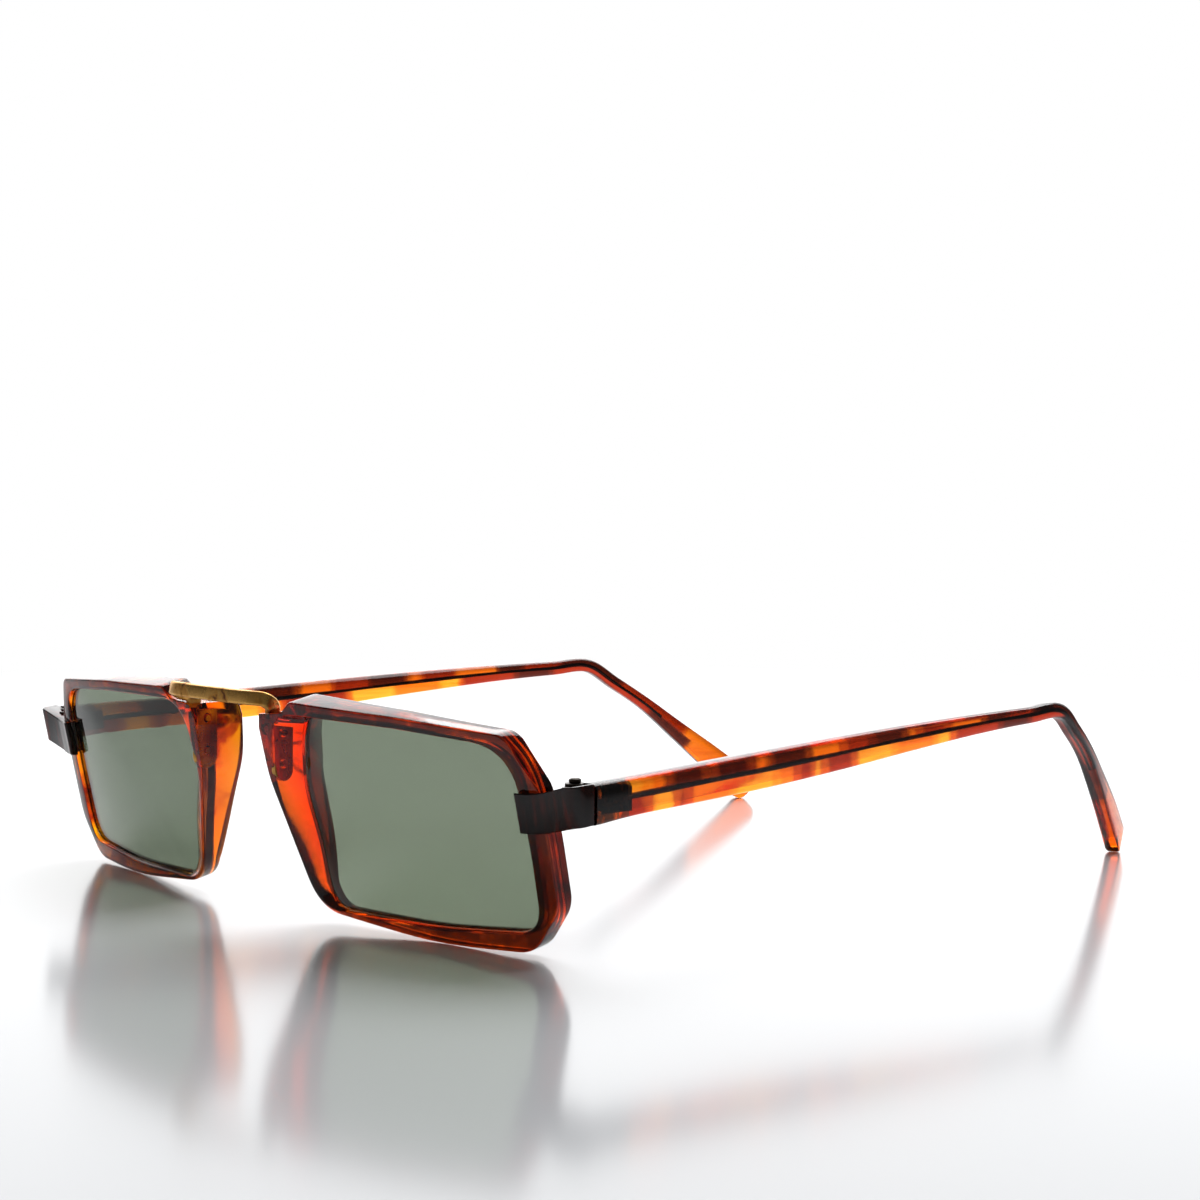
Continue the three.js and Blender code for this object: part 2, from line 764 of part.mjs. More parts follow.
function temple() {
  let solid = templeBlank(path);
  solid = solid.subtract(hingeRoom(endBottom - 2, hingeTop + 4));
  solid = solid.subtract(templeLeafPlate(fit));
  solid = solid.subtract(templeLeafWeb(fit));
  solid = solid.subtract(toSolid(wireTube(path, fit, wireFirst - 1, wireLast)));
  solid = solid.subtract(wireMouth());
  return toGeometry(solid);
}

// Joins the leaf's slot to the wire's bore
function wireMouth() {
  const start = templeLeafStart + templeLeafLength - 1;
  const { x, z } = path[wireFirst - 1].point;
  const end = path[wireFirst].point.y + fit;
  const reach = wireRadius + fit;
  return block(templeLeafX - reach, x + reach, start, end, z - reach, z + reach);
}

function coreWire() {
  return wireTube(path, 0, wireFirst, wireLast - 1);
}

// ---- Pieces that take cuts from their neighbours --------------------------------------------

function rim() {
  return toGeometry(toSolid(rimBlank()).subtract(anchorRoom()).subtract(endBlank(fit)));
}

function endPiece() {
  let solid = endBlank(0);
  solid = solid.subtract(frontLeafPlate(fit));
  solid = solid.subtract(hingeRoom(endBottom - 1, endTop + 1));
  return toGeometry(solid);
}

// ---- Assembly -----------------------------------------------------------------------------

const glasses = new THREE.Group();

function add(parent, name, geometry, look) {
  const mesh = new THREE.Mesh(geometry, new THREE.MeshStandardMaterial(look));
  mesh.name = name;
  parent.add(mesh);
}

const front = new THREE.Group();
glasses.add(front);
add(front, 'bridge', skin(stripRings(), false), agedGold);

const sidedFront = {
  rim: [rim(), tortoise],
  lens: [lensGeometry(), tint],
  bridge_anchor: [anchorPlate(), agedGold],
  anchor_rivet_upper: [anchorRivet(rivetPlaces.upper), agedGold],
  anchor_rivet_lower: [anchorRivet(rivetPlaces.lower), agedGold],
  end_piece: [endPiece(), darkTortoise],
  front_hinge_leaf: [frontLeaf(), steel],
  hinge_screw: [hingeScrew(), steel],
};

const sidedTemple = {
  temple: [temple(), tortoise],
  core_wire: [coreWire(), steel],
  temple_hinge_leaf: [templeLeaf(), steel],
};

for (const [side, turn] of [['left', (g) => g], ['right', mirrored]]) {
  for (const [name, [geometry, look]] of Object.entries(sidedFront)) {
    add(front, `${name}_${side}`, turn(geometry), look);
  }
  const arm = new THREE.Group();
  glasses.add(arm);
  for (const [name, [geometry, look]] of Object.entries(sidedTemple)) {
    add(arm, `${name}_${side}`, turn(geometry), look);
  }
}

// The origin is the middle of the underside of the whole
const box = new THREE.Box3().setFromObject(glasses);
const middle = box.getCenter(new THREE.Vector3());
glasses.position.set(-middle.x, -middle.y, -box.min.z);
const group = new THREE.Group();
group.add(glasses);

export default group;
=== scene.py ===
"""Tortoiseshell sunglasses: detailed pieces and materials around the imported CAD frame."""
import math

import bmesh
import bpy
import numpy as np
from mathutils import Matrix, Vector

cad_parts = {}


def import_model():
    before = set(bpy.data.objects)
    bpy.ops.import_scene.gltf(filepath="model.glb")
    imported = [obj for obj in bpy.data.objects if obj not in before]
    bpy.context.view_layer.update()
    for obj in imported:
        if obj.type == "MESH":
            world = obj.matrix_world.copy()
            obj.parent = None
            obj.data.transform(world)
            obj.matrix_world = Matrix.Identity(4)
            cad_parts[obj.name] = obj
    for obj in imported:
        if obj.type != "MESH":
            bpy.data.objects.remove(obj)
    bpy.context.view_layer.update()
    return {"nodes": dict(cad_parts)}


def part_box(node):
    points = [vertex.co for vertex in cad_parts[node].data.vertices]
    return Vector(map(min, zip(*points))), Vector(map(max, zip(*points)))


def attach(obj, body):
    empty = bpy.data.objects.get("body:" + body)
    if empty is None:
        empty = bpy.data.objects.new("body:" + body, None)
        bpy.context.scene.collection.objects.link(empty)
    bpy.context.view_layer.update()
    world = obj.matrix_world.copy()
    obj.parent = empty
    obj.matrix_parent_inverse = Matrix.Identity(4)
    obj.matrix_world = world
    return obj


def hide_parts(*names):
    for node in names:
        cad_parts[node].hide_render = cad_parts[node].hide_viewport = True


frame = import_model()

# ---- Driving dimensions, in millimetres ------------------------------------------------------
HALF_WIDTH = 66.0
NASAL = 8.05
RIM_WIDTH = 50.7
RIM_HEIGHT = 31.7
TEMPORAL = NASAL + RIM_WIDTH
TILT = math.radians(-12.6)
WRAP_DROP = 7.4
WRAP_SPAN = 60.0
BAND_TOP, BAND_BOTTOM, BAND_TEMPORAL, BAND_NASAL = 2.2, 2.05, 3.0, 1.7
LENS_THICKNESS, LENS_FIT, LENS_BITE, GROOVE = 1.3, 0.1, 0.5, 0.8
LIP, NASAL_SETBACK, LENS_DOME = 0.6, 2.4, 0.5
BEVEL_PLAIN, BEVEL_NASAL = 0.3, 3.6
FLANGE_DEPTH, FLANGE_WALL, FLANGE_FLARE, FLANGE_SETTLE = 9.1, 1.4, 0.18, 0.5
NOTCH_DROP = 2.2
STRIP_HEIGHT, STRIP_THICKNESS = 2.0, 1.2
STRIP_LIFT, STRIP_STAND_OFF = 2.3, 1.6
LEG_X, LEG_SETBACK, LEG_BITE = NASAL + 1.9, 1.5, 0.6
TEMPLE_START, TEMPLE_BEND, TEMPLE_REACH = 5.35, 109.1, 141.5
END_BACK = TEMPLE_START - 0.3
END_INNER = TEMPORAL - BAND_TEMPORAL - 0.4
END_HEIGHT, END_PROUD, END_BITE = 5.2, 0.85, 0.3
END_CORNER, END_LIP, END_FLAT_FROM = 2.0, 0.35, TEMPORAL + 1
END_LEVEL, JOINT_RISE = RIM_HEIGHT * 0.632, 1.9
HINGE_X, HINGE_Y, POCKET_RADIUS = HALF_WIDTH - 4.6, END_BACK + 0.6, 1.6
CENTRE = np.array([(NASAL + TEMPORAL) / 2, RIM_HEIGHT / 2])
SIDES = {"left": 1.0, "right": -1.0}


def mix(a, b, t):
    return a + (b - a) * t


def smooth(low, high, value):
    t = min(max((value - low) / (high - low), 0.0), 1.0)
    return t * t * (3 - 2 * t)


def front_y(x, z):
    """Y of the rims' front surface, which leans and wraps round."""
    return WRAP_DROP * (x / WRAP_SPAN) ** 2 + z * math.tan(TILT)


def place(u, v, w):
    """A point u across, v up and w behind the rims' front surface."""
    y = WRAP_DROP * (u / WRAP_SPAN) ** 2 + v * math.sin(TILT) + w * math.cos(TILT)
    return np.array([u, y, v * math.cos(TILT) - w * math.sin(TILT)])


# ---- Outlines of the rim and of its opening --------------------------------------------------
# Each corner is u, v and the radius that rounds it
OUTER = [
    (NASAL + 6.4, 2.1, 7), (NASAL + 29, 0, 90), (TEMPORAL - 5.2, 0.7, 5.5), (TEMPORAL - 0.2, 7.0, 5.5),
    (TEMPORAL, 16, 60), (TEMPORAL - 0.2, RIM_HEIGHT - 8.7, 4), (TEMPORAL - 4.2, RIM_HEIGHT - 1.8, 3),
    (NASAL + 28, RIM_HEIGHT - 0.6, 90), (NASAL + 8, RIM_HEIGHT, 1), (NASAL + 5.7, RIM_HEIGHT - 1.7, 0.7),
    (NASAL, RIM_HEIGHT - NOTCH_DROP, 0.7), (NASAL + 0.3, RIM_HEIGHT - 11.2, 14),
]
OPENING = [
    (NASAL + 5.3 + BAND_NASAL, BAND_BOTTOM + 0.25, 6), (NASAL + 29, BAND_BOTTOM, 90),
    (TEMPORAL - BAND_TEMPORAL - 0.4, BAND_BOTTOM + 1.5, 4.5), (TEMPORAL - BAND_TEMPORAL, 15, 60),
    (TEMPORAL - BAND_TEMPORAL - 0.7, RIM_HEIGHT - BAND_TOP - 1.2, 8), (NASAL + 28, RIM_HEIGHT - BAND_TOP, 90),
    (NASAL + BAND_NASAL + 1.3, RIM_HEIGHT - BAND_TOP + 0.5, 7.5), (NASAL + BAND_NASAL, RIM_HEIGHT - 13, 14),
]


def outline(corners, max_step, arc_step):
    """A closed line through rounded corners, with its long stretches divided."""
    points = []
    for i, (u, v, radius) in enumerate(corners):
        here = np.array([u, v])
        before = np.array(corners[i - 1][:2]) - here
        after = np.array(corners[(i + 1) % len(corners)][:2]) - here
        long_b, long_a = np.linalg.norm(before), np.linalg.norm(after)
        half = math.acos(before @ after / long_b / long_a) / 2
        cut = min(radius / math.tan(half), min(long_a, long_b) * 0.48)
        start, end = here + before / long_b * cut, here + after / long_a * cut
        steps = max(3, round((math.pi - 2 * half) / arc_step))
        for t in np.linspace(0, 1, steps + 1):
            points.append(start * (1 - t) ** 2 + here * 2 * t * (1 - t) + end * t * t)
    divided = []
    for i, point in enumerate(points):
        following = points[(i + 1) % len(points)]
        pieces = max(1, math.ceil(np.linalg.norm(following - point) / max_step))
        divided += [mix(point, following, k / pieces) for k in range(pieces)]
    return np.array(divided)


def meet(points, angle):
    """Where the ray from the rim's centre at an angle meets an outline."""
    ray = np.array([math.cos(angle), math.sin(angle)])
    a = points - CENTRE
    edge = np.roll(a, -1, axis=0) - a
    bottom = ray[0] * edge[:, 1] - ray[1] * edge[:, 0]
    along = (a[:, 0] * edge[:, 1] - a[:, 1] * edge[:, 0]) / bottom
    share = (a[:, 0] * ray[1] - a[:, 1] * ray[0]) / bottom
    good = (along > 0) & (share >= -1e-9) & (share <= 1 + 1e-9)
    return ray * along[good][-1] + CENTRE


OUTER_LINE = outline(OUTER, 1.3, 0.11)
OPENING_LINE = outline(OPENING, 1.3, 0.11)


def lens_depth(u, v):
    """How far the lens's front edge lies behind the rim's front surface."""
    nasal_share = min(max((TEMPORAL - BAND_TEMPORAL - u) / (RIM_WIDTH - 9), 0), 1)
    height_share = min(max(v / (RIM_HEIGHT - 4), 0), 1)
    return LIP + NASAL_SETBACK * nasal_share ** 1.5 * height_share


def cut_at(angle):
    """The corners of the rim's cross-section on the ray at an angle, flange included."""
    outside, opening = meet(OUTER_LINE, angle), meet(OPENING_LINE, angle)
    inward = (CENTRE - outside) / np.linalg.norm(CENTRE - outside)
    nasal_share = 1 - smooth(NASAL + 6, NASAL + 16, opening[0])
    seat = opening + inward * BEVEL_PLAIN
    seat[0] += BEVEL_NASAL * nasal_share * (0.5 + 0.5 * smooth(0, 14, opening[1]))
    seat_depth = lens_depth(*seat)
    plain = seat_depth + LENS_THICKNESS + 2 * LENS_FIT + LIP
    climb = min(max((outside[1] - 5) / (RIM_HEIGHT - 8.5), 0), 1)
    on_nose = 1 - smooth(NASAL + 3.4, NASAL + 5.2, outside[0] - 0.35 * max(0, 18 - outside[1]))
    back = plain + max(0, FLANGE_DEPTH - plain) * climb * on_nose
    settle = FLANGE_SETTLE * (back - plain) * smooth(12, 26, outside[1])
    on_nose *= climb
    flare = FLANGE_FLARE * max(0, back - 1) * on_nose
    back_outside = np.array([outside[0] + flare, outside[1] - settle])
    back_inside = mix(seat, back_outside + inward * FLANGE_WALL, on_nose)
    floor = seat - inward * GROOVE
    return dict(outside=outside, opening=opening, inward=inward, seat=seat, seat_depth=seat_depth,
                back=back, back_outside=back_outside, back_inside=back_inside, floor=floor,
                groove_back=seat_depth + LENS_THICKNESS + 2 * LENS_FIT)


ANGLES = sorted(math.atan2(*(p - CENTRE)[::-1]) for p in OUTER_LINE)
ANGLES = [a for i, a in enumerate(ANGLES) if i == 0 or a - ANGLES[i - 1] > 0.004]
CUTS = [cut_at(a) for a in ANGLES]


def rounded(points, radii, steps):
    """A closed ring of 3-D points with each corner turned into a small curve."""
    ring = []
    total = len(points)
    for i in range(total):
        here, before, after = points[i], points[i - 1], points[(i + 1) % total]
        a, b = before - here, after - here
        ra = min(radii[i], np.linalg.norm(a) * 0.47) / max(np.linalg.norm(a), 1e-9)
        rb = min(radii[i], np.linalg.norm(b) * 0.47) / max(np.linalg.norm(b), 1e-9)
        for t in np.linspace(0, 1, steps[i] + 1):
            ring.append((here + a * ra) * (1 - t) ** 2 + here * 2 * t * (1 - t) + (here + b * rb) * t * t)
    return ring


RIM_RADII = [0.3, 0.25, 0.12, 0.1, 0.1, 0.12, 0.35, 0.4]
RIM_STEPS = [4, 3, 2, 1, 1, 2, 4, 4]


def rim_ring(c):
    corners = [
        place(*c["outside"], 0), place(*c["opening"], 0), place(*c["seat"], c["seat_depth"]),
        place(*c["floor"], c["seat_depth"]), place(*c["floor"], c["groove_back"]),
        place(*c["seat"], c["groove_back"]), place(*c["back_inside"], c["back"]),
        place(*c["back_outside"], c["back"]),
    ]
    return rounded(corners, RIM_RADII, RIM_STEPS)


# The shifts carry the drawing's frame, with its origin at the foot of the rim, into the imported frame
RIM_FLOOR = min(p[2] for c in CUTS for p in rim_ring(c))
SHIFT_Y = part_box("end_piece_left")[1][1] * 1000 - END_BACK
SHIFT_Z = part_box("rim_left")[0][2] * 1000 - RIM_FLOOR + 0.005  # a hair clear of the CAD box's bottom


# ---- Meshes ----------------------------------------------------------------------------------
SMOOTH_UNDER = math.radians(40)


def to_metres(p, sign=1.0):
    return Vector((p[0] * sign, p[1] + SHIFT_Y, p[2] + SHIFT_Z)) / 1000


def loft(name, rings, sign=1.0, loop=False, uvs=None):
    """Quads between equal rings; the ends are closed unless the rings themselves form a loop."""
    bm = bmesh.new()
    grid = [[bm.verts.new(to_metres(p, sign)) for p in ring] for ring in rings]
    layer = bm.loops.layers.uv.new("UVMap")
    count = len(rings[0])
    for i in range(len(rings) if loop else len(rings) - 1):
        low, high = grid[i], grid[(i + 1) % len(rings)]
        for k in range(count):
            n = (k + 1) % count
            face = bm.faces.new((low[k], low[n], high[n], high[k]))
            if uvs is not None:
                near, far = uvs[i], uvs[(i + 1) % len(rings)]
                for corner, value in zip(face.loops, (near[k], near[n], far[n], far[k])):
                    corner[layer].uv = value
    if not loop:
        for ends, index in ((grid[0], 0), (grid[-1], -1)):
            face = bm.faces.new(ends)
            if uvs is not None:
                for corner, value in zip(face.loops, uvs[index]):
                    corner[layer].uv = value
    bmesh.ops.recalc_face_normals(bm, faces=bm.faces)
    return finish_mesh(name, bm)


def finish_mesh(name, bm):
    mesh = bpy.data.meshes.new(name)
    for edge in bm.edges:
        edge.smooth = len(edge.link_faces) == 2 and edge.calc_face_angle(0) < SMOOTH_UNDER
    for face in bm.faces:
        face.smooth = True
    bm.to_mesh(mesh)
    bm.free()
    piece = bpy.data.objects.new(name, mesh)
    bpy.context.scene.collection.objects.link(piece)
    return piece


def carve(piece, cutter):
    """Takes a closed cutter mesh out of a piece and applies the result."""
    cut = piece.modifiers.new("cut", "BOOLEAN")
    cut.operation, cut.solver, cut.object = "DIFFERENCE", "EXACT", cutter
    bpy.context.view_layer.update()
    graph = bpy.context.evaluated_depsgraph_get()
    mesh = bpy.data.meshes.new_from_object(
        piece.evaluated_get(graph), preserve_all_data_layers=True, depsgraph=graph)
    piece.modifiers.clear()
    piece.data = mesh
    bpy.data.objects.remove(cutter)
    return piece


def circle(x, y, z, radius, sides):
    """Points of a level circle."""
    turns = [2 * math.pi * k / sides for k in range(sides)]
    return [np.array([x + radius * math.cos(a), y + radius * math.sin(a), z]) for a in turns]


def smooth_curve(stops, steps):
    """A smooth curve through the stops (centripetal Catmull-Rom), any extra columns carried along."""
    pts = np.array(stops, float)
    pts = np.vstack([2 * pts[0] - pts[1], pts, 2 * pts[-1] - pts[-2]])
    out = []
    for i in range(1, len(pts) - 2):
        p0, p1, p2, p3 = pts[i - 1:i + 3]
        gaps = (b - a for a, b in ((p0, p1), (p1, p2), (p2, p3)))
        d0, d1, d2 = (max(np.linalg.norm(gap[:3]), 1e-6) ** 0.5 for gap in gaps)
        m1 = ((p1 - p0) / d0 - (p2 - p0) / (d0 + d1) + (p2 - p1) / d1) * d1
        m2 = ((p2 - p1) / d1 - (p3 - p1) / (d1 + d2) + (p3 - p2) / d2) * d1
        bend, twist = 3 * (p2 - p1) - 2 * m1 - m2, 2 * (p1 - p2) + m1 + m2
        for k in range(steps):
            t = k / steps
            out.append(p1 + m1 * t + bend * t * t + twist * t ** 3)
    out.append(pts[-2])
    return np.array(out)


def unit(v):
    return v / np.linalg.norm(v)


# ---- Materials -------------------------------------------------------------------------------
def material(name):
    m = bpy.data.materials.new(name)
    m.use_nodes = True
    tree = m.node_tree
    return m, tree, tree.nodes["Principled BSDF"]


def node(tree, kind, inputs=None, **props):
    """A new node whose inputs are given as values or as the sockets that feed them."""
    n = tree.nodes.new(kind)
    for key, value in props.items():
        setattr(n, key, value)
    for key, value in (inputs or {}).items():
        socket = n.inputs[key]
        if isinstance(value, bpy.types.NodeSocket):
            tree.links.new(value, socket)
        else:
            socket.default_value = value
    return n


def math_node(tree, operation, a, b=0.0):
    return node(tree, "ShaderNodeMath", {0: a, 1: b}, operation=operation).outputs[0]


def vector_node(tree, operation, a, b=(0, 0, 0)):
    n = node(tree, "ShaderNodeVectorMath", {0: a, 1: b}, operation=operation)
    return n.outputs["Value" if operation in ("DOT_PRODUCT", "LENGTH") else "Vector"]


def map_range(tree, value, low, high, to_low=0.0, to_high=1.0, shape="LINEAR"):
    limits = {"Value": value, "From Min": low, "From Max": high, "To Min": to_low, "To Max": to_high}
    return node(tree, "ShaderNodeMapRange", limits, interpolation_type=shape).outputs[0]


def ramp(tree, value, stops):
    """Stops are (place, colour), or (place, level) for a grey."""
    n = node(tree, "ShaderNodeValToRGB", {"Fac": value})
    elements = n.color_ramp.elements
    while len(elements) < len(stops):
        elements.new(0.5)
    for element, (at, colour) in zip(elements, stops):
        element.position = at
        element.color = (*colour, 1) if isinstance(colour, tuple) else (colour, colour, colour, 1)
    return n.outputs["Color"]


def noise(tree, vector, scale, detail=3.0, rough=0.5, distort=0.0):
    inputs = {"Vector": vector, "Scale": scale, "Detail": detail, "Roughness": rough, "Distortion": distort}
    return node(tree, "ShaderNodeTexNoise", inputs).outputs["Fac"]


def blend_colour(tree, fac, a, b, mode="MIX"):
    n = node(tree, "ShaderNodeMix", data_type="RGBA", blend_type=mode)
    for socket, value in ((n.inputs[0], fac), (n.inputs[6], a), (n.inputs[7], b)):
        if isinstance(value, bpy.types.NodeSocket):
            tree.links.new(value, socket)
        else:
            socket.default_value = value if isinstance(value, float) else (*value, 1)
    return n.outputs[2]


def bump(tree, bsdf, height, strength, distance):
    n = node(tree, "ShaderNodeBump", {"Height": height, "Strength": strength, "Distance": distance})
    tree.links.new(n.outputs["Normal"], bsdf.inputs["Normal"])


def plastic(bsdf, transmission=1.0):
    bsdf.inputs["IOR"].default_value = 1.49
    bsdf.inputs["Transmission Weight"].default_value = transmission


def absorb(tree, colour, density):
    """The longer the light's path inside the plastic, the more the amber turns to red."""
    n = node(tree, "ShaderNodeVolumeAbsorption", {"Color": (*colour, 1), "Density": density})
    tree.links.new(n.outputs[0], tree.nodes["Material Output"].inputs["Volume"])


def scuffs(tree, bsdf, coords):
    fine = noise(tree, coords, 900.0, 4.0, 0.6)
    tree.links.new(ramp(tree, fine, [(0.35, 0.04), (0.75, 0.16)]), bsdf.inputs["Roughness"])
    bump(tree, bsdf, fine, 0.05, 0.00005)


RIGHT_AMBER, LEFT_AMBER = (0.95, 0.60, 0.03), (0.75, 0.17, 0.005)
# The third brown here is painted shade for the rims' front faces, not a colour of the plastic.
RED_BROWN, DEEP_BROWN, PAINTED_FRONT_SHADE = (0.25, 0.03, 0.012), (0.06, 0.012, 0.008), (0.03, 0.008, 0.004)


def tortoise_rim():
    """Clear amber by the nose, blotched red-brown further out, with painted shade darkening the front face.
    """
    m, tree, bsdf = material("tortoise_rim")
    plastic(bsdf)
    coords = node(tree, "ShaderNodeTexCoord").outputs["Object"]
    blotch = noise(tree, coords, 150.0, 2.0, 0.5, 0.8)
    fleck = noise(tree, coords, 520.0, 3.0, 0.55, 0.4)
    across = node(tree, "ShaderNodeSeparateXYZ", {0: coords}).outputs[0]
    from_nose = math_node(tree, "ABSOLUTE", across)
    level = math_node(tree, "ADD", blotch, map_range(tree, from_nose, 0.013, 0.021, -0.1, 0.02, "SMOOTHSTEP"))
    level = math_node(tree, "ADD", level, math_node(tree, "MULTIPLY", fleck, 0.18))
    amber = blend_colour(tree, map_range(tree, across, -0.004, 0.004), RIGHT_AMBER, LEFT_AMBER)
    dark = ramp(tree, level, [(0.60, (0.45, 0.07, 0.01)), (0.70, RED_BROWN), (0.80, DEEP_BROWN)])
    colour = blend_colour(tree, ramp(tree, level, [(0.54, 0), (0.66, 1)]), amber, dark)
    # Painted shade: faces turned to the front are blended towards deep brown, standing in for the dark the
    # plastic shows there; flecks thin the shade.
    normal = node(tree, "ShaderNodeTexCoord").outputs["Normal"]
    ahead = vector_node(tree, "DOT_PRODUCT", normal, (0, -math.cos(TILT), math.sin(TILT)))
    front_shade_share = map_range(tree, ahead, 0.80, 0.96, 0.0, 0.93)
    front_shade_share = math_node(tree, "MULTIPLY", front_shade_share, ramp(tree, fleck, [(0.50, 1), (0.66, 0.55)]))
    colour = blend_colour(tree, front_shade_share, colour, PAINTED_FRONT_SHADE)
    tree.links.new(colour, bsdf.inputs["Base Color"])
    absorb(tree, (0.96, 0.727, 0.07), 1300.0)
    scuffs(tree, bsdf, coords)
    return m


YELLOW, ORANGE, RUST, DARK = (0.95, 0.55, 0.12), (0.85, 0.26, 0.03), (0.30, 0.03, 0.008), (0.07, 0.010, 0.005)
# Each block is the millimetres from the hinge where it starts, and its colour
UPPER_BLOCKS = [
    (0, DARK), (5, YELLOW), (10, ORANGE), (14, DARK), (21.5, ORANGE), (23, DARK), (31, ORANGE),
    (34.5, DARK), (43, ORANGE), (50, RUST), (57, DARK), (65, ORANGE), (68, RUST), (75, ORANGE),
    (84, DARK), (90, RUST), (98, DARK), (112, RUST), (128, ORANGE),
]
LOWER_BLOCKS = [
    (0, DARK), (5, RUST), (10.5, YELLOW), (15.5, RUST), (18, ORANGE), (27, YELLOW), (35.5, ORANGE),
    (40, RUST), (44, YELLOW), (46, RUST), (53, YELLOW), (62, ORANGE), (72, YELLOW), (76, RUST),
    (88, DARK), (96, RUST), (120, DARK), (130, ORANGE),
]
UV_LENGTH = 100
BLOCK_BLUR, PATTERN_LENGTH, FLECKED_LENGTH = 0.35, 150, 5.6


def blocks_along(tree, along, blocks):
    """Bands of colour with slightly soft edges, in two ramps because one can't hold all the stops."""
    share = math_node(tree, "MULTIPLY", along, UV_LENGTH / PATTERN_LENGTH)
    stops = []
    for start, colour in blocks:
        if stops:
            stops.append(((start - BLOCK_BLUR) / PATTERN_LENGTH, stops[-1][1]))
        stops.append(((start + BLOCK_BLUR) / PATTERN_LENGTH, colour))
    half = len(stops) // 2 // 2 * 2
    first, second = ramp(tree, share, stops[:half + 1]), ramp(tree, share, stops[half:])
    return blend_colour(tree, math_node(tree, "GREATER_THAN", share, stops[half][0]), first, second)


def tortoise_temple():
    """Two rows of blocks, amber and red-brown by turns, one above the core wire and one below."""
    m, tree, bsdf = material("tortoise_temple")
    plastic(bsdf)
    uv = node(tree, "ShaderNodeTexCoord").outputs["UV"]
    coords = node(tree, "ShaderNodeTexCoord").outputs["Object"]
    split = node(tree, "ShaderNodeSeparateXYZ", {0: uv})
    along, up = split.outputs[0], split.outputs[1]
    wobble = math_node(tree, "SUBTRACT", noise(tree, coords, 330.0, 2.0), 0.5)
    wavy_along = math_node(tree, "ADD", along, math_node(tree, "MULTIPLY", wobble, 0.02))
    lower, upper = (blocks_along(tree, wavy_along, blocks) for blocks in (LOWER_BLOCKS, UPPER_BLOCKS))
    colour = blend_colour(tree, math_node(tree, "GREATER_THAN", up, 0.0), lower, upper)
    streak = noise(tree, vector_node(tree, "MULTIPLY", coords, (250, 60, 900)), 1.0, 2.0)
    streak_colour = ramp(tree, streak, [(0.5, (1.0, 0.7, 0.5)), (0.8, (0.5, 0.35, 0.25))])
    streak_share = ramp(tree, streak, [(0.42, 0), (0.62, 0.75)])
    colour = blend_colour(tree, streak_share, colour, streak_colour, "MULTIPLY")
    fleck = noise(tree, coords, 700.0, 2.0)
    flecked = ramp(tree, fleck, [(0.52, (0.035, 0.014, 0.007)), (0.68, (0.6, 0.14, 0.03))])
    by_hinge = math_node(tree, "LESS_THAN", along, FLECKED_LENGTH / UV_LENGTH)
    colour = blend_colour(tree, by_hinge, colour, flecked)
    tree.links.new(colour, bsdf.inputs["Base Color"])
    absorb(tree, (0.97, 0.74, 0.1), 700.0)
    scuffs(tree, bsdf, coords)
    return m


def dark_tortoise():
    m, tree, bsdf = material("dark_tortoise")
    plastic(bsdf, 0.5)
    coords = node(tree, "ShaderNodeTexCoord").outputs["Object"]
    streak = noise(tree, vector_node(tree, "MULTIPLY", coords, (700, 700, 90)), 1.0, 2.0)
    stops = [(0.42, (0.016, 0.005, 0.003)), (0.54, (0.05, 0.008, 0.004)), (0.68, (0.25, 0.02, 0.008))]
    tree.links.new(ramp(tree, streak, stops), bsdf.inputs["Base Color"])
    scuffs(tree, bsdf, coords)
    return m


def tinted_lens():
    """Grey-green, a little lighter towards the bottom and a little deeper on the right."""
    m, tree, bsdf = material("tinted_lens")
    plastic(bsdf)
    bsdf.inputs["IOR"].default_value = 1.5
    coords = node(tree, "ShaderNodeTexCoord").outputs["Object"]
    drift = noise(tree, coords, 25.0, 1.0)
    tint = ramp(tree, drift, [(0.3, (0.130, 0.160, 0.112)), (0.7, (0.138, 0.167, 0.119))])
    split = node(tree, "ShaderNodeSeparateXYZ", {0: coords})
    lift = map_range(tree, split.outputs[2], 0.004, 0.03, 1.35, 1.0)
    deeper = map_range(tree, split.outputs[0], -0.008, 0.008, 0.82, 1.0)
    level = math_node(tree, "MULTIPLY", lift, deeper)
    tinted = node(tree, "ShaderNodeVectorMath", {0: tint, 3: level}, operation="SCALE").outputs[0]
    tree.links.new(tinted, bsdf.inputs["Base Color"])
    film = noise(tree, coords, 1500.0, 3.0, 0.6)
    tree.links.new(ramp(tree, film, [(0.4, 0.0), (0.8, 0.03)]), bsdf.inputs["Roughness"])
    return m


def aged_gold():
    m, tree, bsdf = material("aged_gold")
    bsdf.inputs["Metallic"].default_value = 1.0
    coords = node(tree, "ShaderNodeTexCoord").outputs["Object"]
    tarnish = noise(tree, coords, 330.0, 4.0, 0.6, 0.7)
    grain = noise(tree, coords, 2600.0, 3.0, 0.6)
    clean = [(0.50, (1.0, 0.57, 0.16)), (0.60, (0.85, 0.42, 0.09))]
    stained = [(0.68, (0.25, 0.09, 0.04)), (0.78, (0.07, 0.03, 0.02))]
    grain_colour = ramp(tree, grain, [(0.35, (0.55, 0.42, 0.22)), (0.65, (0.95, 0.78, 0.48))])
    colour = blend_colour(tree, 0.25, ramp(tree, tarnish, clean + stained), grain_colour, "MULTIPLY")
    tree.links.new(colour, bsdf.inputs["Base Color"])
    tree.links.new(ramp(tree, tarnish, [(0.4, 0.26), (0.75, 0.6)]), bsdf.inputs["Roughness"])
    bump(tree, bsdf, grain, 0.12, 0.00004)
    return m


